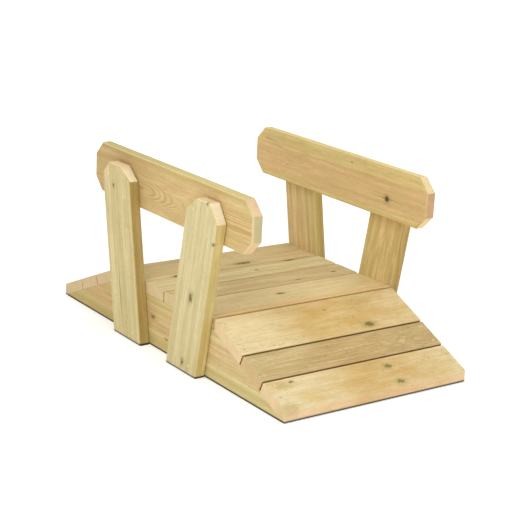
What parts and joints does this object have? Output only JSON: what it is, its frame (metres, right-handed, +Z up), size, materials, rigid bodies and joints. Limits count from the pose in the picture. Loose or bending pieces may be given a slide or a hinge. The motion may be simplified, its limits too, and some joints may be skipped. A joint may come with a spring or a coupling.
{
  "type": "timber play footbridge",
  "caption": "Small free-standing timber play footbridge for toddlers, with a flat deck, a sloping ramp at each end, leaning posts and low handrails with cut corners.",
  "frame": {"origin": "on the ground, at the middle of the overall box's footprint", "axes": "+X along the bridge towards its front ramp, +Y across it towards the left handrail, +Z up"},
  "size_m": [1.1568, 0.668, 0.524],
  "materials": {
    "panel_timber": "planed, pressure-treated softwood, unfinished",
    "deck_timber": "planed, pressure-treated softwood, unfinished",
    "ramp_timber": "planed, pressure-treated softwood, unfinished",
    "post_timber": "planed, pressure-treated softwood, unfinished",
    "rail_timber": "planed, pressure-treated softwood, unfinished",
    "screw_steel": "yellow-passivated zinc plate"
  },
  "bodies": {
    "root": {"side_panel_left": "panel_timber", "side_panel_right": "panel_timber", "deck_board_1": "deck_timber", "deck_board_2": "deck_timber", "deck_board_3": "deck_timber", "deck_board_4": "deck_timber", "front_ramp_board_1": "ramp_timber", "front_ramp_board_2": "ramp_timber", "front_ramp_board_3": "ramp_timber", "rear_ramp_board_1": "ramp_timber", "rear_ramp_board_2": "ramp_timber", "rear_ramp_board_3": "ramp_timber", "post_left_front": "post_timber", "post_left_rear": "post_timber", "post_right_front": "post_timber", "post_right_rear": "post_timber", "handrail_left": "rail_timber", "handrail_right": "rail_timber", "deck_screws": "screw_steel", "front_ramp_screws": "screw_steel", "rear_ramp_screws": "screw_steel", "panel_screws_left_front": "screw_steel", "panel_screws_left_rear": "screw_steel", "panel_screws_right_front": "screw_steel", "panel_screws_right_rear": "screw_steel", "rail_screws_left_front": "screw_steel", "rail_screws_left_rear": "screw_steel", "rail_screws_right_front": "screw_steel", "rail_screws_right_rear": "screw_steel"}
  },
  "joints": []
}
